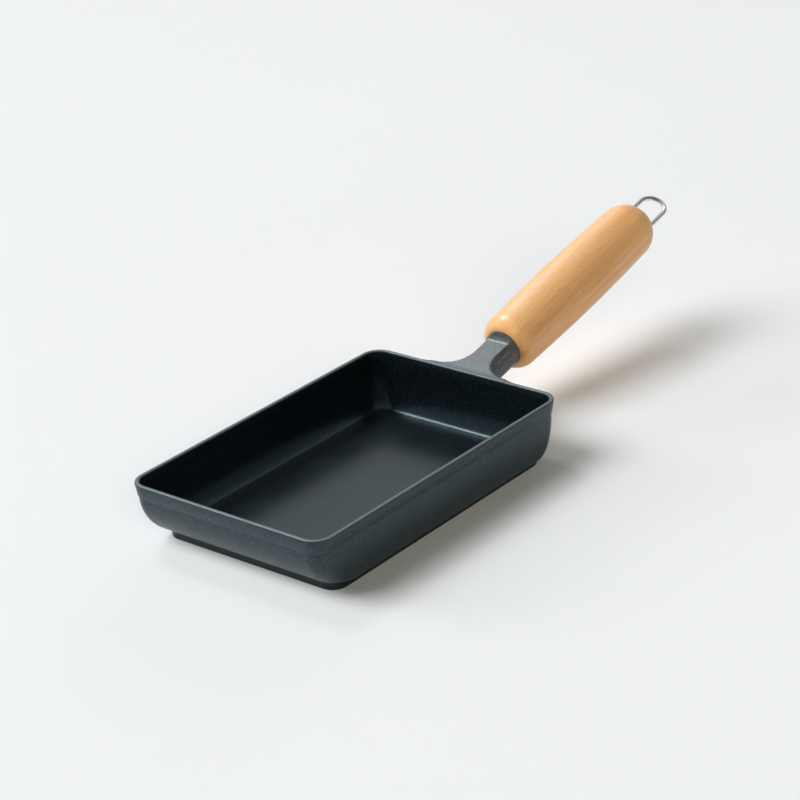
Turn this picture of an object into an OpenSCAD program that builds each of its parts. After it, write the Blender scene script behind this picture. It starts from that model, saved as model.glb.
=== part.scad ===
// Tamagoyaki pan: a small rectangular omelette pan with a wooden handle.
// The bowl, its foot and the neck are one casting. The handle is held by a stud
// and by a nut that carries the hanging loop. Millimetres, +Z up, +Y towards the
// handle, origin in the middle of the foot's resting face.

/* [Pan] */
// Width over the rim, left to right
pan_w = 115; // [105:1:135]
// Length over the rim, from the far wall to the handle's wall
pan_l = 180; // [165:1:200]
// Height of the rim above the table
rim_h = 32.5; // [30:0.5:38]
// Thickness of the wall at the rim
wall = 2.4; // [2:0.1:3]
// Radius of the rim's outer corners
rim_r = 10; // [9:0.5:12]
// Height of the smooth band under the rim
band_h = 7; // [5:0.5:9]
// How far the rim stands out beyond the foot of that band
flare = 1.0; // [0.6:0.1:1.2]
// Depth of the ledge under the band
ledge = 0.4; // [0.2:0.1:0.6]
// How far the side walls draw in below the band
side_sweep = 3.8; // [3:0.1:5]
// How far the wall by the handle draws in
back_sweep = 7.5; // [6:0.5:9]
// How far the far wall draws in, which is what turns the omelette
front_sweep = 23; // [18:0.5:26]
// Height of the cooking surface above the table
floor_z = 5.2; // [4.8:0.1:6]

/* [Foot] */
// Height of the foot below the bowl
foot_h = 2.8; // [2.4:0.1:3.2]
// Distance of the foot from the rim at the sides
foot_side = 6.1; // [5.5:0.1:8]
// Distance of the foot from the rim at the handle's wall
foot_back = 9; // [7:0.5:10]
// Distance of the foot from the rim at the far wall
foot_front = 15.7; // [14:0.1:18]

/* [Neck] */
// Radius of the neck and of the collar that meets the wood
collar_r = 9.8; // [9.4:0.1:10.2]
// Height of the flat top above the handle's axis
flat_h = 6; // [5.5:0.1:6.5]
// Half width of the flat top at its narrowest
waist = 6.4; // [6:0.1:6.8]
// Thickness of the flat top where it flares into the wall
flat_t = 3; // [2.4:0.1:3.6]
// Half width of the flat top's root on the wall
root_w = 28; // [26:1:32]
// Radius of the flare on each side of the flat top
flare_r = 14.2; // [13.4:0.2:14.6]

/* [Handle] */
// Angle of the handle above the table
handle_rise = 13; // [11:0.5:15]
// Length of the wood
grip_len = 126.1; // [120:0.1:132]
// Radius of the wood at its shoulders
grip_r = 15; // [14.6:0.1:16]
// How much the wood swells half way along
grip_swell = 0.95; // [0.5:0.05:1.2]

/* [Fasteners] */
// Radius of the stud through the wood
stud_r = 3; // [3:0.1:3.2]
// Pitch of the stud's thread
pitch = 1; // [0.75:0.25:1]
// Turns of thread that hold the nut
thread_turns = 10; // [8:1:11]

/* [Hanging loop] */
// Radius of the loop's wire
wire_r = 1.4; // [1.2:0.1:1.6]
// Half width of the loop, to the middle of the wire
loop_w = 7; // [6.6:0.1:7.4]
// Length of the loop from its bar to its top, to the middle of the wire
loop_l = 21.2; // [20:0.2:24]
// Turn of the loop about the handle once the nut is tight
loop_turn = 22; // [-40:1:40]

/* [Hidden] */
$fn = 64;
eps = 0.02;
over = 1;

// Bowl
corner_steps = 8;
sweep_steps = 12;
rim_round = 0.8;
round_steps = 3;
band_z = rim_h - band_h;
under_r = 7.8;
floor_r = 9;
foot_bed = 0.2;
inner_draft = 1.0;
side_inner = side_sweep + 4.8;
back_inner = back_sweep + 1.5;
front_inner = front_sweep - 1;

// Handle frame: the middle of the wood's near face
grip_y = pan_l / 2 + 31.3;
grip_z = rim_h + 0.15;

// Neck
neck_reach = 42;
gusset_r = 19;
gusset_s = -26;
gusset_turn = 40;
spigot_r = 5.5;
spigot_len = 10;
ramp_r = 3.6;
collar_edge = 0.6;
cut_top = 20;
waist_s = -14;
splay_s = -4.9;
collar_half = 8;
flare_drop = 1.4;
root_s = -31.2;
root_taper = 6;
cove_r = 3.45;
cove_x = waist + 0.1 + cove_r;
cove_h = 6.6;
cove_end = -1.6;
cove_turn = 285;
cove_step = 0.05;
cut_low = [-3.8, 12];
cut_high = [-2.1, rim_h - 1];

// Stud, pin and bores
stud_near = -22;
stud_bore_len = 40;
stud_fit = 0.02;
thread_fit = 0.05;
pin_r = 1.25;
pin_reach = 6;
pin_drop = 7.6;
bore_r = 3.5;
slip = 0.1;
slip_end = 0.5;

// Far end of the wood
seat_s = grip_len - 12.5;
seat_r = 6.5;
recess_s = grip_len - 4.9;
recess_r = loop_w + wire_r + 0.2;
washer_r = 6.2;
washer_t = 1.2;
spring_t = 1.6;
spring_trim = 0.2;
spring_gap = 10;
head_s = seat_s + washer_t + spring_t;
head_r = 5.6;
head_len = 8.4;
head_round = 1.6;
shank_r = 4.4;
shank_len = 19;
shank_s = head_s - shank_len;
shank_bore_r = 4.7;
shank_end = 2;
thread_end = 3;
stud_far = shank_s + thread_turns * pitch;
nut_bore_len = thread_turns * pitch + thread_end;

// Loop
bar_s = head_s + 7.1;
loop_base_r = 2.6;
mouth = 0.25;
leg_s = bar_s + loop_base_r;
top_s = bar_s + loop_l - loop_w;
leg_lap = 0.2;
arc_lap = 2;

// Ends of the wood
near_round = 5.2;
near_len = 7.5;
dome_len = grip_r;
profile_steps = 10;

// Places its children in the handle's frame: Z runs out along the handle and -Y is up.
module along_handle() {
    translate([0, grip_y, grip_z]) rotate([handle_rise - 90, 0, 0]) children();
}

// One level of the bowl: a rounded rectangle drawn in by its own amount at the
// sides, at the far wall and at the handle's wall.
function level(side, front, back, z, r) =
    let (x = pan_w / 2 - side - r,
         y0 = -pan_l / 2 + front + r,
         y1 = pan_l / 2 - back - r)
    [for (c = [[x, y1, 0], [-x, y1, 90], [-x, y0, 180], [x, y0, 270]])
        for (k = [0 : corner_steps])
            let (a = c[2] + 90 * k / corner_steps)
            [c[0] + r * cos(a), c[1] + r * sin(a), z]];

// A level drawn in evenly all round, as the rim is.
function even_level(inset, z) = level(inset, inset, inset, z, rim_r - inset);

// Outer wall below the band: t is 0 under the band and 90 at the underside.
function outer_level(t) =
    let (q = 1 - cos(t), top = flare + ledge)
    level(top + side_sweep * q, top + front_sweep * q, top + back_sweep * q,
          band_z - (band_z - foot_h) * sin(t),
          rim_r - top + (under_r - rim_r + top) * q);

// Inner wall: t is 0 level with the band's foot and 90 at the cooking surface.
function inner_level(t) =
    let (q = 1 - cos(t), top = wall + inner_draft)
    level(top + side_inner * q, top + front_inner * q, top + back_inner * q,
          band_z - (band_z - floor_z) * sin(t),
          rim_r - top + (floor_r - rim_r + top) * q);

// All levels, from the underside up the outside, over the rim and down to the floor.
bowl_levels = concat(
    [for (k = [sweep_steps : -1 : 0]) outer_level(90 * k / sweep_steps)],
    [even_level(flare, band_z)],
    [for (k = [0 : round_steps]) let (a = 90 * k / round_steps)
        even_level(rim_round * (1 - cos(a)), rim_h - rim_round * (1 - sin(a)))],
    [for (k = [0 : round_steps]) let (a = 90 * k / round_steps)
        even_level(wall - rim_round * (1 - sin(a)), rim_h - rim_round * (1 - cos(a)))],
    [for (k = [0 : sweep_steps]) inner_level(90 * k / sweep_steps)]);

// Shell through a list of levels, closed by the first and the last.
module loft(levels) {
    n = len(levels[0]);
    m = len(levels);
    sides = [for (i = [0 : m - 2]) for (k = [0 : n - 1])
        let (a = i * n + k, b = i * n + (k + 1) % n)
        each [[a, a + n, b + n], [a, b + n, b]]];
    first = [for (k = [0 : n - 1]) k];
    last = [for (k = [n - 1 : -1 : 0]) (m - 1) * n + k];
    polyhedron(points = [for (l = levels) each l], faces = concat(sides, [first, last]));
}

// Flat pad under the bowl
module foot() {
    linear_extrude(height = floor_z - foot_bed)
        polygon([for (p = level(foot_side, foot_front, foot_back, 0, under_r)) [p[0], p[1]]]);
}

// Outline of the flat top: x across, y along the handle.
function flat_outline() =
    let (side = concat(
        [[root_w + root_taper, -neck_reach], [root_w + root_taper, root_s],
         [root_w, waist_s - flare_r - flare_drop]],
        [for (a = [270 : -10 : 180])
            [waist + flare_r + flare_r * cos(a), waist_s + flare_r * sin(a)]],
        [[waist, splay_s], [collar_half, cove_end]]))
    concat(side, [for (k = [len(side) - 1 : -1 : 0]) [-side[k][0], side[k][1]]]);

module flat_top() {
    translate([0, -(flat_h - flat_t), 0]) rotate([90, 0, 0])
        linear_extrude(height = flat_t) polygon(flat_outline());
}

// What is cut off the round neck above its flat top, with a ramp up to the collar
module above_flat() {
    ramp = [for (a = [270 : 10 : 360])
        [-collar_edge - ramp_r + ramp_r * cos(a), flat_h + ramp_r + ramp_r * sin(a)]];
    far = -2 * neck_reach;
    outline = concat([[far, flat_h]], ramp, [[-collar_edge, cut_top], [far, cut_top]]);
    rotate([0, -90, 0]) linear_extrude(height = 2 * neck_reach, center = true)
        polygon([for (p = outline) [p[0], -p[1]]]);
}

// Arc of a round bar that lies flat along the handle, between two angles measured from across
module bar_arc(x, s, r, from, to, thick) {
    translate([x, 0, s]) rotate([90, 0, 0]) rotate([0, 0, from])
        rotate_extrude(angle = to - from) translate([r, 0]) circle(r = thick);
}

// Scoop along one side of the flat top, straight at first and then round its flare
module cove() {
    flare_x = waist + flare_r;
    translate([0, -cove_h, 0]) {
        translate([cove_x, 0, waist_s]) cylinder(r = cove_r, h = cove_end - waist_s);
        bar_arc(flare_x, waist_s, flare_x - cove_x, 180 - arc_lap, cove_turn, cove_r - cove_step);
    }
}

// Round neck that swells a little towards the wall
module neck_round() {
    difference() {
        union() {
            translate([0, 0, -neck_reach]) cylinder(r = collar_r, h = neck_reach);
            rotate_extrude()
                polygon(concat([[0, gusset_s]],
                    [for (a = [0 : 10 : gusset_turn])
                        [collar_r + gusset_r * (1 - cos(a)), gusset_s - gusset_r * sin(a)]],
                    [[0, gusset_s - gusset_r * sin(gusset_turn)]]));
        }
        above_flat();
        cove();
        mirror([1, 0, 0]) cove();
    }
}

// Everything on the pan's side of a plane that runs down inside the wall by the handle
module behind_wall() {
    lean = (cut_high[0] - cut_low[0]) / (cut_high[1] - cut_low[1]);
    rotate([90, 0, 90]) linear_extrude(height = 2 * pan_w, center = true)
        polygon([[pan_l / 2 + cut_low[0] - lean * 2 * rim_h, cut_low[1] - 2 * rim_h],
                 [pan_l / 2 + cut_high[0] + lean * 2 * rim_h, cut_high[1] + 2 * rim_h],
                 [0, cut_high[1] + 2 * rim_h], [0, cut_low[1] - 2 * rim_h]]);
}

// Neck, collar and spigot, ending inside the pan's wall
module neck() {
    difference() {
        along_handle() {
            neck_round();
            flat_top();
            cylinder(r = spigot_r, h = spigot_len);
        }
        behind_wall();
    }
}

module pan_body() {
    color("#33383c") difference() {
        union() {
            loft(bowl_levels);
            foot();
            neck();
        }
        along_handle() {
            translate([0, 0, stud_near - over])
                cylinder(r = stud_r + stud_fit, h = stud_bore_len);
            translate([0, pin_drop, -pin_reach]) cylinder(r = pin_r, h = pin_reach + over);
        }
    }
}

// Outline of the wood from its near face to its far end, as radius and place
function grip_profile() = concat(
    [[0, 0]],
    [for (k = [0 : profile_steps]) let (a = 90 * k / profile_steps)
        [grip_r - near_round * (1 - sin(a)), near_len * (1 - cos(a))]],
    [for (k = [1 : 2 * profile_steps - 1]) let (f = k / (2 * profile_steps))
        [grip_r + grip_swell * sin(180 * f), near_len + f * (grip_len - near_len - dome_len)]],
    [for (k = [0 : profile_steps - 1]) let (a = 90 * k / profile_steps)
        [grip_r * cos(a), grip_len - dome_len * (1 - sin(a))]],
    [[0, grip_len]]);

module grip() {
    color("#d9a066") along_handle() difference() {
        rotate_extrude() polygon(grip_profile());
        translate([0, 0, -over]) cylinder(r = bore_r, h = grip_len + 2 * over);
        translate([0, 0, -over])
            cylinder(r = spigot_r + slip, h = spigot_len + over + slip_end);
        translate([0, pin_drop, -over])
            cylinder(r = pin_r + slip, h = pin_reach + over + slip_end);
        translate([0, 0, shank_s - shank_end]) cylinder(r = shank_bore_r, h = grip_len);
        translate([0, 0, seat_s]) cylinder(r = seat_r, h = grip_len);
        translate([0, 0, recess_s]) cylinder(r = recess_r, h = grip_len);
    }
}

module stud() {
    color("#a9abad") along_handle()
        translate([0, 0, stud_near]) cylinder(r = stud_r, h = stud_far - stud_near);
}

module locating_pin() {
    color("#8d9092") along_handle()
        translate([0, pin_drop, -pin_reach]) cylinder(r = pin_r, h = 2 * pin_reach);
}

module end_washer() {
    color("#c4c6c8") along_handle() translate([0, 0, seat_s]) difference() {
        cylinder(r = washer_r, h = washer_t);
        translate([0, 0, -over]) cylinder(r = shank_bore_r, h = washer_t + 2 * over);
    }
}

// Split ring, pressed flat under the nut's head
module spring_washer() {
    color("#9da0a3") along_handle() translate([0, 0, seat_s + washer_t])
        rotate_extrude(angle = 360 - spring_gap)
            translate([shank_bore_r, 0])
                square([washer_r - shank_bore_r - spring_trim, spring_t]);
}

// Long nut with a round head that the loop's bar passes through. The cross hole is
// wider where the wire bends out of it.
module loop_nut() {
    color("#c9cbcd") along_handle() rotate([0, 0, loop_turn]) difference() {
        union() {
            translate([0, 0, shank_s]) cylinder(r = shank_r, h = shank_len + over);
            translate([0, 0, head_s]) cylinder(r = head_r, h = head_len);
            translate([0, 0, head_s + head_len])
                cylinder(r1 = head_r, r2 = head_r - head_round, h = head_round);
        }
        translate([0, 0, shank_s - over])
            cylinder(r = stud_r + thread_fit, h = nut_bore_len + over);
        translate([0, 0, bar_s]) rotate([0, 90, 0])
            cylinder(r = wire_r + eps, h = 4 * head_r, center = true);
        for (m = [0, 1]) mirror([m, 0, 0])
            bar_arc(loop_w - loop_base_r, leg_s, loop_base_r, -90, 0, wire_r + mouth);
    }
}

// Closed ring of wire: a bar through the nut, tight lower corners, straight legs and a
// round top. The top is a hair thicker, so the legs end inside it.
module hanging_loop() {
    color("#d4d6d8") along_handle() rotate([0, 0, loop_turn]) {
        translate([0, 0, bar_s]) rotate([0, 90, 0])
            cylinder(r = wire_r, h = 2 * (loop_w - loop_base_r), center = true);
        bar_arc(0, top_s, loop_w, 0, 180, wire_r + eps);
        for (m = [0, 1]) mirror([m, 0, 0]) {
            bar_arc(loop_w - loop_base_r, leg_s, loop_base_r, -90, 0, wire_r);
            translate([loop_w, 0, leg_s]) cylinder(r = wire_r, h = top_s - leg_s + leg_lap);
        }
    }
}

pan_body();
grip();
stud();
locating_pin();
end_washer();
spring_washer();
loop_nut();
hanging_loop();
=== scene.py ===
from math import acos, cos, pi, radians, sin

import bmesh
import bpy
from bpy.props import FloatProperty, FloatVectorProperty, PointerProperty
from bpy.types import Operator, Panel, PropertyGroup
from mathutils import Matrix, Vector


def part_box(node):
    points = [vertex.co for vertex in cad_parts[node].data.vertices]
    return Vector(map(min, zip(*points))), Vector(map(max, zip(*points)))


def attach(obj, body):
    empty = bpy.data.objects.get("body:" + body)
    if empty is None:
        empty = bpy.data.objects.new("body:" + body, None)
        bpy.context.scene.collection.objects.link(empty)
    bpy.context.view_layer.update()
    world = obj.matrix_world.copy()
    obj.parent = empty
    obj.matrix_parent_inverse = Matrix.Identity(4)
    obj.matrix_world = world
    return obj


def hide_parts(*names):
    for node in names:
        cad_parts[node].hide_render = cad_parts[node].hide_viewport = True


bl_info = {
    "name": "Tamagoyaki pan",
    "version": (1, 0, 0),
    "blender": (4, 5, 0),
    "location": "3D View > Sidebar > Omelette pan",
    "description": "Rectangular cast omelette pan with a turned wooden handle and a wire loop",
    "category": "Add Mesh",
}

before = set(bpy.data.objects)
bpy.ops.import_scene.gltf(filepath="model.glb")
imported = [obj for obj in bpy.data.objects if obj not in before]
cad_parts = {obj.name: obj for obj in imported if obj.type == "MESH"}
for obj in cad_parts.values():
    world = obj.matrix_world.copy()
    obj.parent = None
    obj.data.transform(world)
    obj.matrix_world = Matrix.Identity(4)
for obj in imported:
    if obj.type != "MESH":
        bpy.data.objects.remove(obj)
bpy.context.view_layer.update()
PAN_LOW, PAN_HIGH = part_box("pan_body")

MM = 0.001
WELD = 1e-7
SHARP_ANGLE = radians(34)
Y_AXIS = Vector((0, 1, 0))

# Steps along a rim corner, a wall's sweep, a small edge, a corner of the loop and a full turn
CORNER_STEPS = 16
SWEEP_STEPS = 26
EDGE_STEPS = 5
BEND_STEPS = 12
TURN_STEPS = 96

# The casting's finishes, in the order of its materials
OUTSIDE, INSIDE, GROUND = range(3)

# Sizes that several shapes share, and places along the handle from the wood's near face
FOOT_CORNER = 7.8 * MM
NECK_ROOT = -42 * MM
WAIST = -14 * MM
FLARE = 14.2 * MM
COVE_END = -1.6 * MM
FLAT_WASHER = 1.2 * MM
SPLIT_WASHER = 1.6 * MM
NUT_BORE = 4.7 * MM
NUT_SHANK = 19 * MM
BAR_HEIGHT = 7.1 * MM
BEND = 2.6 * MM

# The stage, in metres
FLOOR_HALF = 9.0
LAMP_DISTANCE = 14.0
LAMP_TARGET = Vector((0, 0.05, 0))
HIGH_BEHIND = (-0.572, 0.199, 0.795)


def size(name, description, default):
    """A size in metres, given in millimetres."""
    return FloatProperty(name=name, description=description, default=default * MM,
                         unit="LENGTH", precision=4)


def angle(name, description, default):
    """An angle, given in degrees."""
    return FloatProperty(name=name, description=description, default=radians(default),
                         unit="ROTATION")


def colour(name, description, default):
    """A linear colour."""
    return FloatVectorProperty(name=name, description=description, default=default,
                               subtype="COLOR", size=3, min=0.0, max=1.0)


def watts(name, description, default):
    """The power of a lamp."""
    return FloatProperty(name=name, description=description, default=default, unit="POWER")


class PanSizes(PropertyGroup):
    """Sizes of the cast body."""

    width: FloatProperty(name="Width", description="Width over the rim",
                         default=PAN_HIGH.x - PAN_LOW.x, unit="LENGTH")
    length: FloatProperty(name="Length", description="Length over the rim",
                          default=-2 * PAN_LOW.y, unit="LENGTH")
    rim_height: size("Rim height", "Height of the rim above the table", 32.5)
    wall: size("Wall", "Thickness of the wall at the rim", 2.4)
    corner: size("Corner", "Radius of the rim's outer corners", 10)
    band: size("Band", "Height of the smooth band under the rim", 7)
    flare: size("Flare", "How far the rim stands out beyond the band's foot", 1.0)
    ledge: size("Ledge", "Depth of the step under the band", 0.4)
    side_sweep: size("Side sweep", "How far the side walls draw in", 3.8)
    back_sweep: size("Back sweep", "How far the wall by the handle draws in", 7.5)
    front_sweep: size("Front sweep", "How far the far wall draws in", 23)
    cooking_height: size("Cooking surface", "Height of the cooking surface", 5.2)
    foot_height: size("Foot", "Height of the foot under the bowl", 2.8)
    foot_side: size("Foot side", "Inset of the foot at the sides", 6.1)
    foot_back: size("Foot back", "Inset of the foot at the handle's wall", 9)
    foot_front: size("Foot front", "Inset of the foot at the far wall", 15.7)


class HandleSizes(PropertyGroup):
    """Sizes of the neck, the wood and what holds it."""

    start_y: size("Wood's near end, Y", "Place of the wood's near face along Y", 121.3)
    start_z: size("Wood's near end, Z", "Height of the wood's near face", 32.65)
    rise: angle("Rise", "Angle of the handle above the table", 13)
    collar: size("Collar", "Radius of the neck and its collar", 9.8)
    flat: size("Flat", "Height of the neck's flat top above its axis", 6)
    waist: size("Waist", "Half width of the flat top at its narrowest", 6.4)
    root: size("Root", "Half width of the flat top where it meets the wall", 28)
    grip_length: size("Grip length", "Length of the wood", 126.1)
    grip_radius: size("Grip radius", "Radius of the wood at its shoulders", 14.94)
    grip_swell: size("Grip swell", "How much the wood swells half way along", 0.93)
    stud: size("Stud", "Radius of the stud", 3)
    pitch: size("Pitch", "Pitch of the stud's thread", 1)
    seat: size("Seat", "Depth of the washers' seat from the wood's far end", 12.5)
    wire: size("Wire", "Radius of the loop's wire", 1.4)
    loop_width: size("Loop width", "Half width of the loop, to the middle of the wire", 7)
    loop_length: size("Loop length", "Length of the loop, to the middle of the wire", 21.2)
    loop_turn: angle("Loop turn", "Turn of the loop about the handle", 22)


class FinishColours(PropertyGroup):
    """Colours of the pan's surfaces."""

    coat: colour("Outer coat", "Fine matte coat outside", (0.008, 0.015, 0.0195))
    coat_light: colour("Outer coat, light", "Lighter grains of the outer coat", (0.042, 0.058, 0.069))
    # Painted highlight: a lighter colour on the rim's top that stands in for its bright reflection
    rim: colour("Rim", "Coat rubbed by use along the rim", (0.085, 0.099, 0.105))
    neck: colour("Neck", "Bare cast neck", (0.058, 0.059, 0.059))
    neck_light: colour("Neck, light", "Lighter grains of the neck", (0.15, 0.15, 0.148))
    inside: colour("Inner coat", "Smooth coat inside", (0.003, 0.0052, 0.0072))
    inside_light: colour("Inner coat, light", "Lighter grains inside", (0.011, 0.017, 0.021))
    base: colour("Ground base", "Underside of the foot", (0.07, 0.073, 0.077))
    wood_light: colour("Wood, light", "Early wood of the handle", (0.88, 0.50, 0.215))
    wood_dark: colour("Wood, dark", "Late wood and rays of the handle", (0.60, 0.225, 0.06))
    steel: colour("Steel", "Polished wire of the loop", (0.86, 0.86, 0.84))
    plain_steel: colour("Plain steel", "Nut, washers, stud and pin", (0.47, 0.47, 0.46))


class StageSettings(PropertyGroup):
    """Camera, floor and lamps."""

    azimuth: angle("Azimuth", "Turn of the camera round the pan", 40.02)
    elevation: angle("Elevation", "Angle of the camera above the table", 24.45)
    roll: angle("Roll", "Roll of the camera", -3.66)
    distance: size("Distance", "Distance of the camera from its target", 1279.48)
    target_x: size("Target X", "Point on the table the camera looks at", -51.82)
    target_y: size("Target Y", "Point on the table the camera looks at", 100.18)
    lens: FloatProperty(name="Lens", description="Focal length in millimetres", default=113.0,
                        unit="CAMERA")
    floor: colour("Floor", "Pale table top", (0.86, 0.87, 0.892))
    key_power: watts("Key", "Power of the small lamp high behind the pan", 200)
    glint_power: watts("Glint", "Power of the lamp round the key that only shows mirrored", 1150)
    sheen_power: watts("Sheen", "Power of the wider lamp that only shows mirrored", 40)
    broad_power: watts("Broad", "Power of the large lamp on the left", 1850)
    side_power: watts("Side", "Power of the low lamp on the left", 540)
    front_power: watts("Front", "Power of the warm lamp in front", 715)
    back_power: watts("Back", "Power of the low lamp behind the handle", 230)
    fill: FloatProperty(name="Fill", description="Light from all round", default=0.15,
                        subtype="FACTOR", min=0.0, max=1.0)


# Mesh helpers


def new_piece(name, bm):
    """A smooth-shaded object at the origin that holds the bmesh, which is freed."""
    for face in bm.faces:
        face.smooth = True
    mesh = bpy.data.meshes.new(name)
    bm.to_mesh(mesh)
    bm.free()
    piece = bpy.data.objects.new(name, mesh)
    bpy.context.scene.collection.objects.link(piece)
    return piece


def settle(piece):
    """Makes a piece's modifiers part of its mesh."""
    graph = bpy.context.evaluated_depsgraph_get()
    made = bpy.data.meshes.new_from_object(piece.evaluated_get(graph))
    made.name = piece.name
    old = piece.data
    piece.modifiers.clear()
    piece.data = made
    bpy.data.meshes.remove(old)
    if not made.polygons:
        raise RuntimeError(f"{piece.name} came out empty")


def combine(piece, tool, operation):
    """Joins a tool to a piece or cuts it out, and removes the tool."""
    modifier = piece.modifiers.new("Shape", "BOOLEAN")
    modifier.operation = operation
    modifier.solver = "EXACT"
    modifier.object = tool
    settle(piece)
    bpy.data.objects.remove(tool)
    return piece


def ring_edges(bm, ring):
    """The edges that join a closed ring of vertices."""
    return [bm.edges.get(pair) for pair in zip(ring, ring[1:] + ring[:1])]


def first_ring(bm, points):
    """A closed ring of vertices on the points."""
    ring = bmesh.ops.create_circle(bm, segments=len(points), radius=1.0)["verts"]
    for vertex, point in zip(ring, points):
        vertex.co = point
    return ring


def next_ring(bm, ring, points):
    """Extrudes a closed ring of vertices to the next ring of points."""
    made = bmesh.ops.extrude_edge_only(bm, edges=ring_edges(bm, ring))["geom"]
    fresh = {v for v in made if isinstance(v, bmesh.types.BMVert)}
    following = []
    for vertex, point in zip(ring, points):
        across = next(e.other_vert(vertex) for e in vertex.link_edges
                      if e.other_vert(vertex) in fresh)
        across.co = point
        following.append(across)
    return following


def sleeve(levels):
    """Faces through rings of points, open at both ends."""
    bm = bmesh.new()
    rings = [first_ring(bm, levels[0])]
    for points in levels[1:]:
        rings.append(next_ring(bm, rings[-1], points))
    return bm, rings


def loft(levels):
    """A closed shell through rings of points, with a face at each end."""
    bm, rings = sleeve(levels)
    for ring in (rings[0], rings[-1]):
        bmesh.ops.contextual_create(bm, geom=ring_edges(bm, ring))
    bmesh.ops.recalc_face_normals(bm, faces=bm.faces)
    return bm, rings


def quarter(steps):
    """Angles from nothing to a quarter turn in even steps."""
    return [pi / 2 * k / steps for k in range(steps + 1)]


def arc(x, y, radius, start, end, steps):
    """Points round a middle, from a start to an end in degrees."""
    angles = [radians(start + (end - start) * k / steps) for k in range(steps + 1)]
    return [(x + radius * cos(a), y + radius * sin(a)) for a in angles]


def circle(centre, radius, out, sides):
    """A ring of points round a centre, in the plane of a direction and the Y axis."""
    angles = [2 * pi * k / sides for k in range(sides)]
    return [centre + radius * (out * cos(a) + Y_AXIS * sin(a)) for a in angles]


def turned(outline, steps=TURN_STEPS, sweep=2 * pi):
    """Turns a closed outline of (radius, place) points about the Z axis."""
    bm = bmesh.new()
    verts = [bm.verts.new((r, 0, z)) for r, z in outline]
    edges = [bm.edges.new(pair) for pair in zip(verts, verts[1:] + verts[:1])]
    full = sweep == 2 * pi
    geom = edges if full else edges + [bm.faces.new(verts)]
    bmesh.ops.spin(bm, geom=geom, cent=(0, 0, 0), axis=(0, 0, 1), angle=sweep, steps=steps,
                   use_merge=full)
    bmesh.ops.remove_doubles(bm, verts=bm.verts, dist=WELD)
    bmesh.ops.recalc_face_normals(bm, faces=bm.faces)
    return bm


def rounded(corners, steps=4):
    """An outline whose corners are rounded: each is (radius, place, rounding)."""
    points = []
    count = len(corners)
    for k, (r, z, rounding) in enumerate(corners):
        here = Vector((r, z))
        if not rounding:
            points.append((r, z))
            continue
        before = Vector(corners[k - 1][:2]) - here
        after = Vector(corners[(k + 1) % count][:2]) - here
        start = here + before.normalized() * rounding
        end = here + after.normalized() * rounding
        for j in range(steps + 1):
            t = j / steps
            p = start * (1 - t) ** 2 + here * 2 * t * (1 - t) + end * t ** 2
            points.append((p.x, p.y))
    return points


def prism(outline, low, high):
    """A solid whose outline lies in X and Y and which runs from low to high along Z."""
    bm = bmesh.new()
    face = bm.faces.new([bm.verts.new((x, y, low)) for x, y in outline])
    made = bmesh.ops.extrude_face_region(bm, geom=[face])["geom"]
    moved = [v for v in made if isinstance(v, bmesh.types.BMVert)]
    bmesh.ops.translate(bm, verts=moved, vec=(0, 0, high - low))
    bmesh.ops.recalc_face_normals(bm, faces=bm.faces)
    return bm


def aim(bm, x, y, z, place=(0, 0, 0)):
    """Turns a solid until its own axes run in three directions, and moves it to a place."""
    bm.transform(Matrix((*zip(x, y, z, place), (0, 0, 0, 1))))
    bmesh.ops.recalc_face_normals(bm, faces=bm.faces)


def trim(bm, point, normal):
    """Cuts off what lies on the normal's side of a plane and closes the cut."""
    everything = bm.verts[:] + bm.edges[:] + bm.faces[:]
    cut = bmesh.ops.bisect_plane(bm, geom=everything, dist=WELD, plane_co=point,
                                 plane_no=normal, clear_outer=True)["geom_cut"]
    edges = [e for e in cut if isinstance(e, bmesh.types.BMEdge)]
    bmesh.ops.holes_fill(bm, edges=edges)


def handle_frame(handle):
    """The handle's frame: Z runs out along the wood, from its near face, and -Y is up."""
    place = Matrix.Translation((0, handle.start_y, handle.start_z))
    return place @ Matrix.Rotation(handle.rise - pi / 2, 4, "X")


def loop_frame(handle):
    """The handle's frame, turned with the loop."""
    return handle_frame(handle) @ Matrix.Rotation(handle.loop_turn, 4, "Z")


def nut_seat(handle):
    """Place of the underside of the nut's head, on the washers."""
    return handle.grip_length - handle.seat + FLAT_WASHER + SPLIT_WASHER


def keep(piece, body, slot, *materials):
    """Gives a piece its materials and lets it ride on its body; the slot is not used."""
    for material in materials:
        piece.data.materials.append(material)
    piece.data.set_sharp_from_angle(angle=SHARP_ANGLE)
    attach(piece, body)
    return piece


# Material helpers


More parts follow.
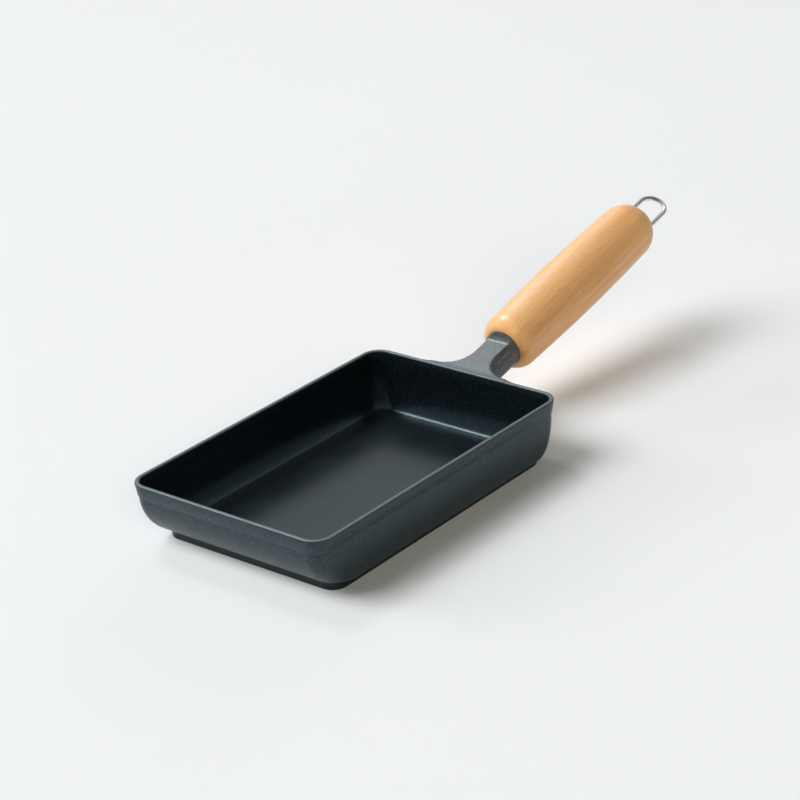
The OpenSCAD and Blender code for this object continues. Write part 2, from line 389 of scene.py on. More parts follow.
class Finish:
    """A material with a Principled shader, and short calls for what feeds it."""

    def __init__(self, name, base, roughness, metallic=0.0):
        self.material = bpy.data.materials.new(name)
        self.material.use_nodes = True
        self.nodes = self.material.node_tree.nodes
        self.links = self.material.node_tree.links
        self.shader = self.nodes["Principled BSDF"]
        self.shader.inputs["Base Color"].default_value = (*base, 1.0)
        self.shader.inputs["Roughness"].default_value = roughness
        self.shader.inputs["Metallic"].default_value = metallic

    def place(self, scale=(1, 1, 1), turn=(0, 0, 0), shift=(0, 0, 0)):
        """Object coordinates, shifted, turned and scaled."""
        source = self.nodes.new("ShaderNodeTexCoord").outputs["Object"]
        for socket, values, neutral in (("Location", shift, (0, 0, 0)), ("Rotation", turn, (0, 0, 0)),
                                        ("Scale", scale, (1, 1, 1))):
            if values != neutral:
                node = self.nodes.new("ShaderNodeMapping")
                node.inputs[socket].default_value = values
                self.links.new(source, node.inputs["Vector"])
                source = node.outputs["Vector"]
        return source

    def noise(self, vector, scale, detail=3.0, roughness=0.5, distortion=0.0):
        """Noise with a scale in features per metre."""
        node = self.nodes.new("ShaderNodeTexNoise")
        node.inputs["Scale"].default_value = scale
        node.inputs["Detail"].default_value = detail
        node.inputs["Roughness"].default_value = roughness
        node.inputs["Distortion"].default_value = distortion
        self.links.new(vector, node.inputs["Vector"])
        return node.outputs["Fac"]

    def ramp(self, value, low, high, start=0.0, end=1.0):
        """Maps a value between low and high to a range from start to end."""
        node = self.nodes.new("ShaderNodeMapRange")
        for socket, number in (("From Min", low), ("From Max", high), ("To Min", start), ("To Max", end)):
            node.inputs[socket].default_value = number
        self.links.new(value, node.inputs["Value"])
        return node.outputs["Result"]

    def mix(self, factor, first, second):
        """A blend of two colours."""
        node = self.nodes.new("ShaderNodeMix")
        node.data_type = "RGBA"
        self.links.new(factor, node.inputs["Factor"])
        # The colour sockets share their names with the number sockets, so they go by place
        for socket, value in ((node.inputs[6], first), (node.inputs[7], second)):
            if isinstance(value, bpy.types.NodeSocket):
                self.links.new(value, socket)
            else:
                socket.default_value = (*value, 1.0)
        return node.outputs[2]

    def colour(self, socket):
        """Colours the surface."""
        self.links.new(socket, self.shader.inputs["Base Color"])

    def roughness(self, socket):
        """Makes the surface duller or shinier."""
        self.links.new(socket, self.shader.inputs["Roughness"])

    def mirror_tint(self, *tint):
        """Tints what the surface mirrors."""
        self.shader.inputs["Specular Tint"].default_value = (*tint, 1.0)

    def bump(self, height, depth, strength=1.0, before=None):
        """Relief from a height between 0 and 1 that stands for a depth in metres."""
        node = self.nodes.new("ShaderNodeBump")
        node.inputs["Strength"].default_value = strength
        node.inputs["Distance"].default_value = depth
        self.links.new(height, node.inputs["Height"])
        if before:
            self.links.new(before, node.inputs["Normal"])
        self.links.new(node.outputs["Normal"], self.shader.inputs["Normal"])
        return node.outputs["Normal"]


def outer_coat(pan, colours):
    """Fine matte coat with pale grains, bare on the neck, with a painted highlight along the rim's top
    and painted shade on the foot's sides.
    """
    coat = Finish("outer_coat", colours.coat, 0.38)
    where = coat.place()
    grain = coat.noise(where, 1600, 2.0, 0.6)
    cloud = coat.noise(where, 60, 3.0)
    speck = coat.ramp(grain, 0.48, 0.64)
    along = coat.nodes.new("ShaderNodeSeparateXYZ")
    coat.links.new(where, along.inputs["Vector"])
    wall = pan.length / 2
    neck = coat.ramp(along.outputs["Y"], wall - 2 * MM, wall + 10 * MM)
    # Painted highlight: the top of the rim is coloured lighter, standing in for its bright reflection
    rim_highlight = coat.ramp(along.outputs["Z"], pan.rim_height - 0.5 * MM, pan.rim_height - 0.1 * MM)
    # Painted shade: the foot's sides under the bowl are darkened to a third of the coat's colour
    foot = coat.ramp(along.outputs["Z"], pan.foot_height - 0.4 * MM, pan.foot_height + 1.2 * MM)
    bowl = coat.mix(rim_highlight, coat.mix(speck, colours.coat, colours.coat_light), colours.rim)
    bare = coat.mix(speck, colours.neck, colours.neck_light)
    coat.colour(coat.mix(foot, [0.3 * c for c in colours.coat], coat.mix(neck, bowl, bare)))
    coat.roughness(coat.ramp(cloud, 0.3, 0.7, 0.36, 0.44))
    coat.mirror_tint(0.7, 0.93, 1.0)
    soft = coat.bump(coat.noise(where, 260, 2.0), 0.06 * MM, 0.5)
    coat.bump(grain, 0.05 * MM, 0.6, soft)
    return coat.material


def inner_coat(colours):
    """Smooth release coat of the cooking surface."""
    coat = Finish("inner_coat", colours.inside, 0.22)
    where = coat.place()
    grain = coat.noise(where, 1300, 2.0, 0.6)
    cloud = coat.noise(where, 45, 3.0)
    coat.colour(coat.mix(coat.ramp(grain, 0.52, 0.7), colours.inside, colours.inside_light))
    coat.roughness(coat.ramp(cloud, 0.3, 0.7, 0.21, 0.27))
    coat.bump(grain, 0.04 * MM, 0.4)
    coat.mirror_tint(0.5, 0.85, 1.0)
    return coat.material


def ground_base(colours):
    """Underside of the foot, ground flat in straight strokes."""
    base = Finish("ground_base", colours.base, 0.42, 0.35)
    strokes = base.noise(base.place((1, 0.02, 1)), 2600, 2.0, 0.7)
    cloud = base.noise(base.place(), 35, 3.0)
    base.colour(base.mix(base.ramp(cloud, 0.35, 0.7), colours.base, colours.coat_light))
    base.roughness(base.ramp(strokes, 0.3, 0.7, 0.34, 0.5))
    base.bump(strokes, 0.02 * MM, 0.6)
    return base.material


def beech(colours, handle):
    """Sanded beech: long soft grain, short dark rays and a thin satin oil."""
    wood = Finish("beech", colours.wood_light, 0.42)
    upright = (pi / 2 - handle.rise, 0, 0)
    origin = (0, -handle.start_y, -handle.start_z)
    long, fibre, short = (wood.place((1, 1, share), upright, origin) for share in (0.035, 0.02, 0.16))
    bands = wood.noise(long, 150, 3.0, 0.55, 0.8)
    fine = wood.noise(fibre, 2300, 2.0, 0.6)
    rays = wood.noise(short, 1500, 1.0, 0.4)
    tone = wood.mix(wood.ramp(bands, 0.32, 0.72), colours.wood_light, colours.wood_dark)
    lighter = wood.mix(wood.ramp(bands, 0.25, 0.8, 0.0, 0.75), colours.wood_light, tone)
    streaked = wood.mix(wood.ramp(fine, 0.42, 0.72, 0.0, 0.3), lighter, colours.wood_dark)
    flecked = wood.mix(wood.ramp(rays, 0.6, 0.7, 0.0, 0.35), streaked, colours.wood_dark)
    wood.colour(flecked)
    wood.roughness(wood.ramp(fine, 0.3, 0.8, 0.38, 0.5))
    wood.bump(fine, 0.03 * MM, 0.35)
    wood.shader.inputs["Coat Weight"].default_value = 0.3
    wood.shader.inputs["Coat Roughness"].default_value = 0.45
    return wood.material


def steel(name, base, roughness, scale, stretch=(1, 1, 1), turn=(0, 0, 0)):
    """Steel with faint strokes, either polished or turned."""
    metal = Finish(name, base, roughness, 1.0)
    strokes = metal.noise(metal.place(stretch, turn), scale, 2.0, 0.6)
    cloud = metal.noise(metal.place(), 140, 2.0)
    metal.colour(metal.mix(metal.ramp(cloud, 0.35, 0.65), base, [0.9 * c for c in base]))
    metal.roughness(metal.ramp(strokes, 0.3, 0.7, 0.8 * roughness, 1.3 * roughness))
    metal.bump(strokes, 0.008 * MM, 0.4)
    return metal.material


# The cast body


def band_foot(pan):
    """Height of the foot of the band under the rim."""
    return pan.rim_height - pan.band


def pan_level(pan, side, front, back, z, radius):
    """A ring of points at one height, drawn in by its own amount at each wall."""
    x = pan.width / 2 - side - radius
    far = -pan.length / 2 + front + radius
    near = pan.length / 2 - back - radius
    middles = ((x, near, 0), (-x, near, 90), (-x, far, 180), (x, far, 270))
    return [Vector((*point, z)) for cx, cy, start in middles
            for point in arc(cx, cy, radius, start, start + 90, CORNER_STEPS)]


def even_level(pan, inset, z):
    """A ring drawn in evenly, as the rim is."""
    return pan_level(pan, inset, inset, inset, z, pan.corner - inset)


def swept_level(pan, t, top, sweeps, low, corner):
    """A ring of the elliptical sweep: t is 0 under the band and a quarter turn below."""
    drawn = 1 - cos(t)
    side, front, back = (top + sweep * drawn for sweep in sweeps)
    z = band_foot(pan) - (band_foot(pan) - low) * sin(t)
    radius = pan.corner - top
    return pan_level(pan, side, front, back, z, radius + (corner - radius) * drawn)


def bowl_levels(pan):
    """Rings up the outside and over the rim, and rings down the inside to its floor."""
    edge = 0.8 * MM
    draft = 1.0 * MM
    step = 0.35 * MM
    floor_corner = 9 * MM
    band_z = band_foot(pan)
    outer_sweeps = (pan.side_sweep, pan.front_sweep, pan.back_sweep)
    inner_sweeps = (pan.side_sweep + 4.8 * MM, pan.front_sweep - 1 * MM, pan.back_sweep + 1.5 * MM)
    top = pan.flare + pan.ledge
    inner_top = pan.wall + draft
    under = [pan_level(pan, *(top + sweep + 4 * MM for sweep in outer_sweeps), pan.foot_height,
                       FOOT_CORNER - 3 * MM)]
    outside = [swept_level(pan, t, top, outer_sweeps, pan.foot_height, FOOT_CORNER)
               for t in reversed(quarter(SWEEP_STEPS))]
    groove = [even_level(pan, top - pan.ledge * 0.25, band_z + step * 0.3),
              even_level(pan, pan.flare + pan.ledge * 0.15, band_z + step * 0.6),
              even_level(pan, pan.flare - pan.flare * step / pan.band, band_z + step * 1.2)]
    rim_out = [even_level(pan, edge * (1 - cos(a)), pan.rim_height - edge * (1 - sin(a)))
               for a in quarter(EDGE_STEPS)]
    rim_in = [even_level(pan, pan.wall - edge * (1 - sin(a)), pan.rim_height - edge * (1 - cos(a)))
              for a in quarter(EDGE_STEPS)]
    inside_band = [even_level(pan, pan.wall + draft * (1 - (1 - u) ** 2),
                              pan.rim_height - edge - (pan.band - edge) * u)
                   for u in (0.2, 0.4, 0.6, 0.8)]
    inside = [swept_level(pan, t, inner_top, inner_sweeps, pan.cooking_height, floor_corner)
              for t in quarter(SWEEP_STEPS)]
    floor = [pan_level(pan, *(inner_top + sweep + 5 * MM for sweep in inner_sweeps), pan.cooking_height,
                       floor_corner - 4 * MM)]
    return under + outside + groove + rim_out + rim_in[:-1], rim_in[-1:] + inside_band + inside + floor


def bowl(pan):
    """The bowl and its foot as one closed shell."""
    outside, inside = bowl_levels(pan)
    bm, rings = loft(outside + inside)
    coated = {v for ring in rings[len(outside):] for v in ring}
    for face in bm.faces:
        face.material_index = INSIDE if all(v in coated for v in face.verts) else OUTSIDE
    body = new_piece("pan_casting", bm)
    edge = 0.6 * MM
    insets = [(edge + 3 * MM, 0)]
    insets += [(edge * (1 - sin(a)), edge * (1 - cos(a))) for a in quarter(EDGE_STEPS)]
    insets.append((0, pan.cooking_height - 0.2 * MM))
    bm, rings = loft([pan_level(pan, pan.foot_side + i, pan.foot_front + i, pan.foot_back + i, z,
                                FOOT_CORNER - min(i, edge)) for i, z in insets])
    for face in bm.faces:
        face.material_index = GROUND if all(v.co.z < 0.001 * MM for v in face.verts) else OUTSIDE
    return combine(body, new_piece("foot", bm), "UNION")


def flat_top_outline(handle):
    """Outline of the neck's flat top: X across, and the place along the handle."""
    wide = handle.root + 6 * MM
    side = [(wide, NECK_ROOT), (wide, -31.2 * MM), (handle.root, WAIST - FLARE - 1.4 * MM)]
    side += arc(handle.waist + FLARE, WAIST, FLARE, 270, 180, 18)
    side += [(handle.waist, -4.9 * MM), (8 * MM, COVE_END)]
    return side + [(-x, s) for x, s in reversed(side)]


def neck_core(handle):
    """The round neck, which swells towards the wall."""
    swell = 19 * MM
    start = -26 * MM
    end = 2 * MM
    outline = [(0, end), (handle.collar, end), (handle.collar, start)]
    outline += arc(handle.collar + swell, start, swell, 185, 220, 7)
    outline += [(outline[-1][0], NECK_ROOT), (0, NECK_ROOT)]
    return new_piece("neck", turned(outline, steps=72))


def above_flat(handle):
    """What is cut away above the flat top, with the ramp up to the collar."""
    ramp = 3.6 * MM
    edge = -0.6 * MM
    back = -60 * MM
    top = 20 * MM
    half = 30 * MM
    outline = [(back, handle.flat)]
    outline += arc(edge - ramp, handle.flat + ramp, ramp, 270, 360, 9)
    outline += [(edge, top), (back, top)]
    bm = prism(outline, -half, half)
    aim(bm, (0, 0, 1), (0, -1, 0), (1, 0, 0))
    return new_piece("above_flat", bm)


def cove(handle, side):
    """The scoop beside the flat top, straight at first and then round its flare."""
    radius = 3.45 * MM
    height = 6.6 * MM
    middle = handle.waist + FLARE
    sweep = FLARE - radius - 0.1 * MM
    steps = 24
    path = [(pi, COVE_END)] + [(radians(180 + 105 * k / steps), WAIST) for k in range(steps + 1)]
    levels = []
    for turn, s in path:
        out = Vector((side * cos(turn), 0, sin(turn)))
        levels.append(circle(Vector((side * middle, -height, s)) + sweep * out, radius, out, 48))
    return new_piece("cove", loft(levels)[0])


def wall_slab(pan):
    """The wall by the handle, a hair inside its surface, so that the neck blends into it."""
    half = 36 * MM
    thickness = 3 * MM
    steps_down = 19
    wall = pan.length / 2 - 0.12 * MM
    band_z = band_foot(pan)
    outline = [(wall - 0.15 * MM, pan.rim_height - 1.7 * MM), (wall - pan.flare, band_z + 0.4 * MM)]
    for t in quarter(SWEEP_STEPS)[:steps_down]:
        outline.append((wall - pan.flare - pan.ledge - pan.back_sweep * (1 - cos(t)),
                        band_z - (band_z - pan.foot_height) * sin(t)))
    low, high = outline[-1], outline[0]
    outline += [(low[0] - thickness, low[1]), (high[0] - thickness, high[1])]
    bm = prism(outline, -half, half)
    aim(bm, (0, 1, 0), (0, 0, 1), (1, 0, 0))
    return new_piece("wall_slab", bm)


def blend(piece):
    """Melts a piece's parts into one skin with soft hollows between them."""
    skin = piece.modifiers.new("Blend", "REMESH")
    skin.mode = "VOXEL"
    skin.voxel_size = 0.4 * MM
    soften = piece.modifiers.new("Soften", "SMOOTH")
    soften.factor = 0.5
    soften.iterations = 8
    settle(piece)


def trim_neck(piece, pan, handle):
    """Cuts the neck off square at the wood and along a slant inside the wall."""
    bm = bmesh.new()
    bm.from_mesh(piece.data)
    trim(bm, Vector((0, handle.start_y, handle.start_z)), handle_frame(handle).col[2].to_3d())
    low = Vector((0, pan.length / 2 - 3.8 * MM, 12 * MM))
    high = Vector((0, pan.length / 2 - 2.1 * MM, pan.rim_height - 1 * MM))
    along = (high - low).normalized()
    trim(bm, low, Vector((0, -along.z, along.y)))
    bm.to_mesh(piece.data)
    bm.free()


def neck(pan, handle):
    """The cast neck: flat top, coves and round collar, blended into the wall."""
    piece = neck_core(handle)
    for side in (1, -1):
        combine(piece, cove(handle, side), "DIFFERENCE")
    thickness = 3 * MM
    plate = prism(flat_top_outline(handle), 0, thickness)
    aim(plate, (1, 0, 0), (0, 0, 1), (0, -1, 0), (0, thickness - handle.flat, 0))
    combine(piece, new_piece("plate", plate), "UNION")
    combine(piece, above_flat(handle), "DIFFERENCE")
    piece.data.transform(handle_frame(handle))
    combine(piece, wall_slab(pan), "UNION")
    blend(piece)
    trim_neck(piece, pan, handle)
    return piece


def spigot(handle):
    """The short tube that carries the wood's near end."""
    outer = 5.5 * MM
    start = -0.5 * MM
    reach = 10 * MM
    bore = handle.stud + 0.02 * MM
    outline = rounded([(bore, start, 0), (outer, start, 0), (outer, reach, 0.6 * MM),
                       (bore, reach, 0.4 * MM)])
    bm = turned(outline, steps=48)
    bm.transform(handle_frame(handle))
    return bm


def add_mesh(piece, bm):
    """Adds a bmesh to a piece's own mesh, as a shell of its own."""
    for face in bm.faces:
        face.smooth = True
    extra = bpy.data.meshes.new("extra")
    bm.to_mesh(extra)
    bm.free()
    whole = bmesh.new()
    whole.from_mesh(piece.data)
    whole.from_mesh(extra)
    whole.to_mesh(piece.data)
    whole.free()
    bpy.data.meshes.remove(extra)


def cast_body(pan, handle, colours):
    """Bowl, foot and neck, which are one casting."""
    body = bowl(pan)
    arm = neck(pan, handle)
    whole = bmesh.new()
    whole.from_mesh(arm.data)
    add_mesh(body, whole)
    bpy.data.objects.remove(arm)
    add_mesh(body, spigot(handle))
    for polygon in body.data.polygons:
        polygon.use_smooth = True
    keep(body, "pan", "cast_body", outer_coat(pan, colours), inner_coat(colours), ground_base(colours))
    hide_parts("pan_body")


# The handle


def grip_outline(handle):
    """Outline of the wood: near face, shoulder, swelling barrel, domed end, seat and bore."""
    near_round = 5.2 * MM
    near_length = 7.5 * MM
    dome = handle.grip_radius
    end = handle.grip_length
    steps = 20
    outline = [(dome - near_round * (1 - sin(a)), near_length * (1 - cos(a))) for a in quarter(steps)]
    for k in range(1, 2 * steps):
        share = k / (2 * steps)
        outline.append((dome + handle.grip_swell * sin(pi * share),
                        near_length + share * (end - near_length - dome)))
    recess = handle.loop_width + handle.wire + 0.2 * MM
    stop = acos(recess / dome)
    for k in range(steps + 1):
        a = stop * k / steps
        outline.append((dome * cos(a), end - dome * (1 - sin(a))))
    lip = outline[-1][1]
    recess_floor = end - 4.9 * MM
    seat = end - handle.seat
    washer_bore = 6.5 * MM
    shank_end = nut_seat(handle) - NUT_SHANK - 2 * MM
    stud_bore = 3.5 * MM
    spigot_end = 10.5 * MM
    spigot_bore = 5.6 * MM
    outline += [(recess + 0.02 * MM, lip - 0.12 * MM), (recess, lip - 0.4 * MM), (recess, recess_floor),
                (washer_bore, recess_floor), (washer_bore, seat), (NUT_BORE, seat),
                (NUT_BORE, shank_end), (stud_bore, shank_end), (stud_bore, spigot_end),
                (spigot_bore, spigot_end), (spigot_bore, 0)]
    return outline


def wooden_grip(handle, colours):
    """The turned handle, bored through for the stud and the nut."""
    bm = turned(grip_outline(handle), steps=128)
    bm.transform(handle_frame(handle))
    grip = keep(new_piece("turned_grip", bm), "pan", "beech", beech(colours, handle))
    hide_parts("grip")


# What holds the handle


def thread(radius, pitch, start, turns):
    """A screw thread: one ridge that winds round the axis."""
    root = radius - 0.55 * pitch
    steps = 24
    bm = bmesh.new()
    ridge = ((root, 0), (radius, 0.4 * pitch), (radius, 0.55 * pitch), (root, pitch))
    verts = [bm.verts.new((r, 0, start + z)) for r, z in ridge]
    edges = [bm.edges.new(pair) for pair in zip(verts, verts[1:])]
    bmesh.ops.spin(bm, geom=edges, cent=(0, 0, 0), axis=(0, 0, 1), angle=2 * pi * turns,
                   steps=steps * turns, dvec=(0, 0, pitch / steps))
    bmesh.ops.remove_doubles(bm, verts=bm.verts, dist=0.001 * MM)
    bmesh.ops.holes_fill(bm, edges=[e for e in bm.edges if e.is_boundary])
    bmesh.ops.recalc_face_normals(bm, faces=bm.faces)
    return bm


def threaded_stud(handle, colours):
    """The stud: plain in the middle, threaded where the neck and the nut hold it."""
    near = -22 * MM
    far = nut_seat(handle) - NUT_SHANK + 10 * MM
    root = handle.stud - 0.5 * handle.pitch
    chamfer = 0.6 * MM
    plain = handle.stud - 0.02 * MM
    outline = [(0, near), (root - chamfer, near), (root, near + chamfer), (root, -1 * MM),
               (plain, -0.5 * MM), (plain, far - 17 * MM), (root, far - 16.5 * MM),
               (root, far - chamfer), (root - chamfer, far), (0, far)]
    stud = new_piece("threaded_stud", turned(outline, steps=48))
    for start, turns in ((near + 0.5 * MM, 20), (far - 16.6 * MM, 15)):
        add_mesh(stud, thread(handle.stud, handle.pitch, start, turns))
    stud.data.transform(handle_frame(handle))
    keep(stud, "pan", "fastener_steel", steel("plain_steel", colours.plain_steel, 0.3, 900))
    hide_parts("stud")


def locating_pin(handle, colours):
    """The pin that stops the wood from turning on the collar."""
    radius = 1.25 * MM
    reach = 6 * MM
    from_axis = 7.6 * MM
    soft = 0.3 * MM
    outline = rounded([(0, -reach, 0), (radius, -reach, soft), (radius, reach, soft), (0, reach, 0)])
    bm = turned(outline, steps=32)
    bmesh.ops.translate(bm, verts=bm.verts, vec=(0, from_axis, 0))
    bm.transform(handle_frame(handle))
    pin = keep(new_piece("dowel_pin", bm), "pan", "fastener_steel",
               steel("pin_steel", colours.plain_steel, 0.25, 1500))
    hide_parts("locating_pin")


def washer_outline(outer, low, high, under, over, steps=4):
    """Outline of a washer round the nut's shank, with its edges rounded under and over."""
    return rounded([(NUT_BORE, low, under), (outer, low, under), (outer, high, over),
                    (NUT_BORE, high, over)], steps)


def flat_washer(handle, colours):
    """The washer on the wood's shoulder."""
    low = handle.grip_length - handle.seat
    outline = washer_outline(6.2 * MM, low, low + FLAT_WASHER, 0, 0.25 * MM)
    bm = turned(outline, steps=72)
    bm.transform(handle_frame(handle))
    washer = keep(new_piece("flat_washer", bm), "washers", "fastener_steel",
                  steel("washer_steel", colours.plain_steel, 0.32, 1200))
    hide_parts("end_washer")


def split_washer(handle, colours):
    """The spring washer, pressed flat, with its slanted split."""
    low = handle.grip_length - handle.seat + FLAT_WASHER
    high = low + SPLIT_WASHER
    soft = 0.2 * MM
    bm = turned(washer_outline(6.0 * MM, low, high, soft, soft, 3), steps=90, sweep=radians(350))
    slant = radians(8)
    for vertex in bm.verts:
        lean = slant * (vertex.co.z - (low + high) / 2) / (high - low)
        vertex.co.rotate(Matrix.Rotation(lean, 3, "Z"))
    bm.transform(handle_frame(handle))
    washer = keep(new_piece("split_washer", bm), "washers", "fastener_steel",
                  steel("spring_steel", colours.plain_steel, 0.36, 1200))
    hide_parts("spring_washer")


def mouth(handle, side, bar):
    """Room at one end of the nut's cross hole, where the wire bends out of it."""
    radius = handle.wire + 0.25 * MM
    middle = Vector((side * (handle.loop_width - BEND), 0, bar + BEND))
    levels = []
    for a in quarter(BEND_STEPS):
        out = Vector((side * sin(a), 0, -cos(a)))
        levels.append(circle(middle + BEND * out, radius, out, 32))
    return new_piece("mouth", loft(levels)[0])


def nut(handle, colours):
    """The long nut: bored shank in the wood, turned head with a cross hole."""
    under = nut_seat(handle)
    start = under - NUT_SHANK
    top = under + 10 * MM
    bar = under + BAR_HEIGHT
    shank = 4.4 * MM
    head = 5.6 * MM
    waist = head - 0.5 * MM
    bore = handle.stud + 0.05 * MM
    bore_end = start + 13 * MM
    outline = rounded([
        (0, bore_end, 0), (bore, bore_end, 0), (bore, start, 0.5 * MM),
        (shank, start, 0.4 * MM), (shank, under, 0), (head, under, 0.3 * MM),
        (head, under + 3.4 * MM, 0.2 * MM), (waist, under + 3.7 * MM, 0.15 * MM),
        (waist, under + 4.3 * MM, 0.15 * MM), (head, under + 4.6 * MM, 0.2 * MM),
        (head, top - 1.8 * MM, 0.7 * MM), (head - 1.8 * MM, top, 0.9 * MM), (0, top, 0)])
    piece = new_piece("loop_nut_turned", turned(outline))
    hole = handle.wire + 0.02 * MM
    half = 9 * MM
    drill = turned([(0, -half), (hole, -half), (hole, half), (0, half)], steps=48)
    drill.transform(Matrix.Translation((0, 0, bar)) @ Matrix.Rotation(pi / 2, 4, "Y"))
    combine(piece, new_piece("cross_hole", drill), "DIFFERENCE")
    for side in (1, -1):
        combine(piece, mouth(handle, side, bar), "DIFFERENCE")
    piece.data.transform(loop_frame(handle))
    keep(piece, "loop", "stainless", steel("turned_steel", colours.plain_steel, 0.24, 1800,
                                           (1, 1, 6), (pi / 2 - handle.rise, 0, 0)))
    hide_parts("loop_nut")


def loop_path(handle):
    """Middle line of the wire: bar, lower corners, straight legs and round top."""
    bar = nut_seat(handle) + BAR_HEIGHT
    edge = handle.loop_width
    inner = edge - BEND
    low = bar + BEND
    high = bar + handle.loop_length - edge
    steps = 8
    path = [(-inner * (1 - 2 * k / steps), bar) for k in range(steps)]
    path += arc(inner, low, BEND, -90, 0, BEND_STEPS)[:-1]
    path += [(edge, low + (high - low) * k / steps) for k in range(steps)]
    path += arc(0, high, edge, 0, 180, 40)[:-1]
    path += [(-edge, high - (high - low) * k / steps) for k in range(steps)]
    path += arc(-inner, low, BEND, 180, 270, BEND_STEPS)[:-1]
    return path


def wire_loop(handle, colours):
    """The bent wire ring, closed inside the nut."""
    path = [Vector((x, 0, s)) for x, s in loop_path(handle)]
    levels = []
    for k, point in enumerate(path):
        along = path[(k + 1) % len(path)] - path[k - 1]
        across = along.cross(Y_AXIS).normalized()
        levels.append(circle(point, handle.wire, across, 24))
    bm, rings = sleeve(levels)
    bmesh.ops.bridge_loops(bm, edges=ring_edges(bm, rings[0]) + ring_edges(bm, rings[-1]))
    bmesh.ops.recalc_face_normals(bm, faces=bm.faces)
    bm.transform(loop_frame(handle))
    loop = keep(new_piece("wire_loop", bm), "loop", "loop_wire",
                steel("polished_wire", colours.steel, 0.12, 500))
    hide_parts("hanging_loop")


# The stage


def soft_lamp(name, direction, width, height, power, tint=(1, 1, 1), lights=True, mirrored=False):
    """A soft lamp that faces the pan and lights it, shows mirrored in it or does both."""
    data = bpy.data.lights.new(name, "AREA")
    data.shape = "RECTANGLE"
    data.size, data.size_y = width, height
    data.energy = power
    data.color = tint
    lamp = bpy.data.objects.new(name, data)
    away = Vector(direction).normalized()
    lamp.rotation_mode = "QUATERNION"
    lamp.rotation_quaternion = away.to_track_quat("Z", "Y")
    lamp.location = LAMP_TARGET + away * LAMP_DISTANCE
    lamp.visible_diffuse = lights
    lamp.visible_glossy = mirrored
    bpy.context.scene.collection.objects.link(lamp)


def lamps(stage):
    """A small lamp high behind, two by it that only show mirrored, and four round about."""
    soft_lamp("key", HIGH_BEHIND, 2.6, 2.6, stage.key_power, mirrored=True)
    soft_lamp("glint", HIGH_BEHIND, 2.8, 2.8, stage.glint_power, lights=False, mirrored=True)
    soft_lamp("sheen", (-0.565, 0.34, 0.752), 5.0, 5.0, stage.sheen_power, lights=False, mirrored=True)
    soft_lamp("broad", (-0.46, -0.5, 0.735), 9.0, 9.0, stage.broad_power, (0.965, 0.985, 1.0))
    soft_lamp("side", (-0.883, -0.339, 0.326), 6.0, 4.0, stage.side_power)
    soft_lamp("front", (0.676, -0.568, 0.469), 8.0, 6.0, stage.front_power, (1.0, 0.97, 0.8))
    soft_lamp("back", (-0.33, 0.908, 0.259), 5.0, 4.0, stage.back_power)


def surroundings(stage):
    """A pale room, lighter behind the pan than on the camera's side."""
    world = bpy.data.worlds.new("pale_room")
    world.use_nodes = True
    nodes, links = world.node_tree.nodes, world.node_tree.links

    def between(value, low, high, start=0.0, end=1.0):
        """Maps a value from start to end to a range, whose ends are numbers or sockets."""
        node = nodes.new("ShaderNodeMapRange")
        links.new(value, node.inputs["Value"])
        for socket, limit in (("From Min", start), ("From Max", end), ("To Min", low), ("To Max", high)):
            if isinstance(limit, float):
                node.inputs[socket].default_value = limit
            else:
                links.new(limit, node.inputs[socket])
        return node.outputs["Result"]

    lightest = (-0.85, 0.53, 0.0)
    span = (-0.5, 0.9)
    side = nodes.new("ShaderNodeVectorMath")
    side.operation = "DOT_PRODUCT"
    side.inputs[1].default_value = lightest
    links.new(nodes.new("ShaderNodeTexCoord").outputs["Generated"], side.inputs[0])
    lit = between(side.outputs["Value"], 0.1 * stage.fill, stage.fill, *span)
    mirrored = between(side.outputs["Value"], 0.1, 0.85, *span)
    ray = nodes.new("ShaderNodeLightPath")
    inner = between(ray.outputs["Is Glossy Ray"], lit, mirrored)
    strength = between(ray.outputs["Is Camera Ray"], inner, 0.9)
    background = nodes["Background"]
    background.inputs["Color"].default_value = (1.0, 1.0, 1.0, 1.0)
    links.new(strength, background.inputs["Strength"])
    bpy.context.scene.world = world


def table_top(stage):
    """The pale table top the pan stands on."""
    bm = bmesh.new()
    bmesh.ops.create_grid(bm, x_segments=2, y_segments=2, size=FLOOR_HALF)
    floor = new_piece("table_top", bm)
    surface = Finish("table_paint", stage.floor, 0.9)
    cloud = surface.noise(surface.place(), 3, 2.0)
    greyer = [0.985 * c for c in stage.floor]
    surface.colour(surface.mix(surface.ramp(cloud, 0.3, 0.7), stage.floor, greyer))
    surface.shader.inputs["Specular IOR Level"].default_value = 0.1
    floor.data.materials.append(surface.material)


def camera(stage):
    """The camera, at the photograph's angle."""
    data = bpy.data.cameras.new("view")
    data.lens = stage.lens
    data.sensor_width = 36.0
    data.clip_start, data.clip_end = 0.01, 50.0
    piece = bpy.data.objects.new("view", data)
    turn = (Matrix.Rotation(stage.azimuth, 4, "Z") @ Matrix.Rotation(pi / 2 - stage.elevation, 4, "X")
            @ Matrix.Rotation(stage.roll, 4, "Z"))
    target = Matrix.Translation((stage.target_x, stage.target_y, 0))
    piece.matrix_world = target @ turn @ Matrix.Translation((0, 0, stage.distance))
    bpy.context.scene.collection.objects.link(piece)
    bpy.context.scene.camera = piece


class OMELETTE_OT_cast_body(Operator):
    """Makes the cast bowl, its foot and the neck"""

    bl_idname = "omelette.cast_body"
    bl_label = "Cast body"

    def execute(self, context):
        scene = context.scene
        cast_body(scene.pan_sizes, scene.handle_sizes, scene.finish_colours)
        return {"FINISHED"}


class OMELETTE_OT_wooden_grip(Operator):
    """Makes the turned wooden handle"""

    bl_idname = "omelette.wooden_grip"
    bl_label = "Wooden grip"

    def execute(self, context):
        wooden_grip(context.scene.handle_sizes, context.scene.finish_colours)
        return {"FINISHED"}


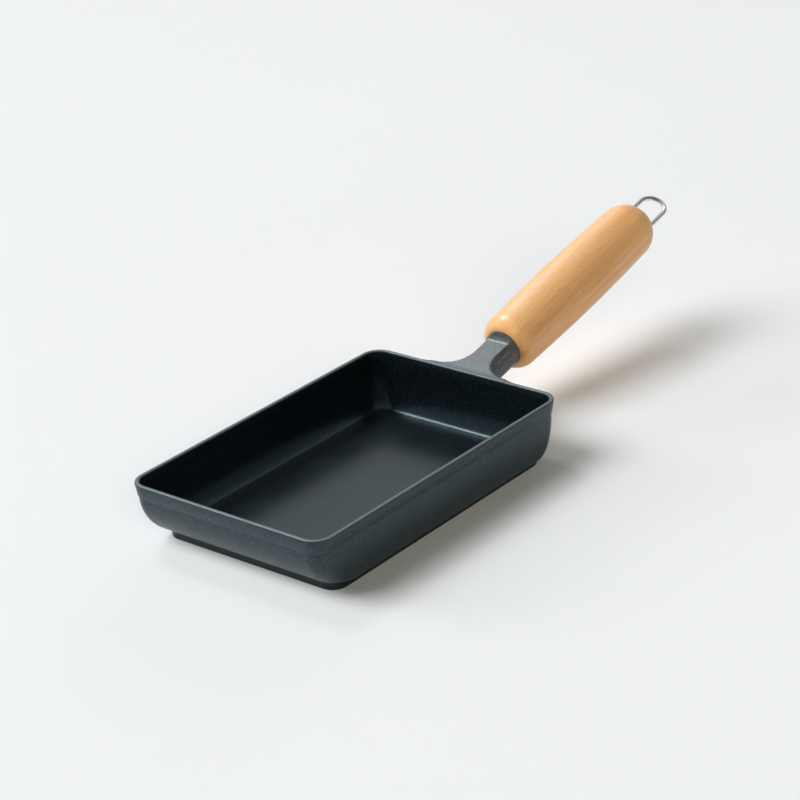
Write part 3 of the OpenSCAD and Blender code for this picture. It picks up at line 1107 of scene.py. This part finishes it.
class OMELETTE_OT_fasteners(Operator):
    """Makes the stud, the locating pin and the two washers"""

    bl_idname = "omelette.fasteners"
    bl_label = "Stud, pin and washers"

    def execute(self, context):
        for make in (threaded_stud, locating_pin, flat_washer, split_washer):
            make(context.scene.handle_sizes, context.scene.finish_colours)
        return {"FINISHED"}


class OMELETTE_OT_loop(Operator):
    """Makes the nut and the hanging loop it carries"""

    bl_idname = "omelette.loop"
    bl_label = "Nut and hanging loop"

    def execute(self, context):
        for make in (nut, wire_loop):
            make(context.scene.handle_sizes, context.scene.finish_colours)
        return {"FINISHED"}


class OMELETTE_OT_stage(Operator):
    """Sets the table top, the room, the lamps and the camera"""

    bl_idname = "omelette.stage"
    bl_label = "Stage"

    def execute(self, context):
        stage = context.scene.stage_settings
        for make in (table_top, surroundings, lamps, camera):
            make(stage)
        context.scene.view_settings.view_transform = "Standard"
        return {"FINISHED"}


class OMELETTE_PT_panel(Panel):
    """Lists the steps that make the pan"""

    bl_label = "Omelette pan"
    bl_space_type = "VIEW_3D"
    bl_region_type = "UI"
    bl_category = "Omelette pan"

    def draw(self, context):
        for operator in OPERATORS:
            self.layout.operator(operator.bl_idname)
        for name, group in GROUPS.items():
            box = self.layout.box()
            for setting in group.__annotations__:
                box.prop(getattr(context.scene, name), setting)


GROUPS = {"pan_sizes": PanSizes, "handle_sizes": HandleSizes,
          "finish_colours": FinishColours, "stage_settings": StageSettings}
OPERATORS = (OMELETTE_OT_stage, OMELETTE_OT_cast_body, OMELETTE_OT_wooden_grip,
             OMELETTE_OT_fasteners, OMELETTE_OT_loop)


def register():
    """Registers the settings, the steps and the panel."""
    for name, group in GROUPS.items():
        bpy.utils.register_class(group)
        setattr(bpy.types.Scene, name, PointerProperty(type=group))
    for cls in (*OPERATORS, OMELETTE_PT_panel):
        bpy.utils.register_class(cls)


def unregister():
    """Removes what register added."""
    for cls in (OMELETTE_PT_panel, *reversed(OPERATORS)):
        bpy.utils.unregister_class(cls)
    for name, group in GROUPS.items():
        delattr(bpy.types.Scene, name)
        bpy.utils.unregister_class(group)


def main():
    """Makes the stage and every piece."""
    register()
    bpy.ops.omelette.stage()
    bpy.ops.omelette.cast_body()
    bpy.ops.omelette.wooden_grip()
    bpy.ops.omelette.fasteners()
    bpy.ops.omelette.loop()


if __name__ == "__main__":
    main()
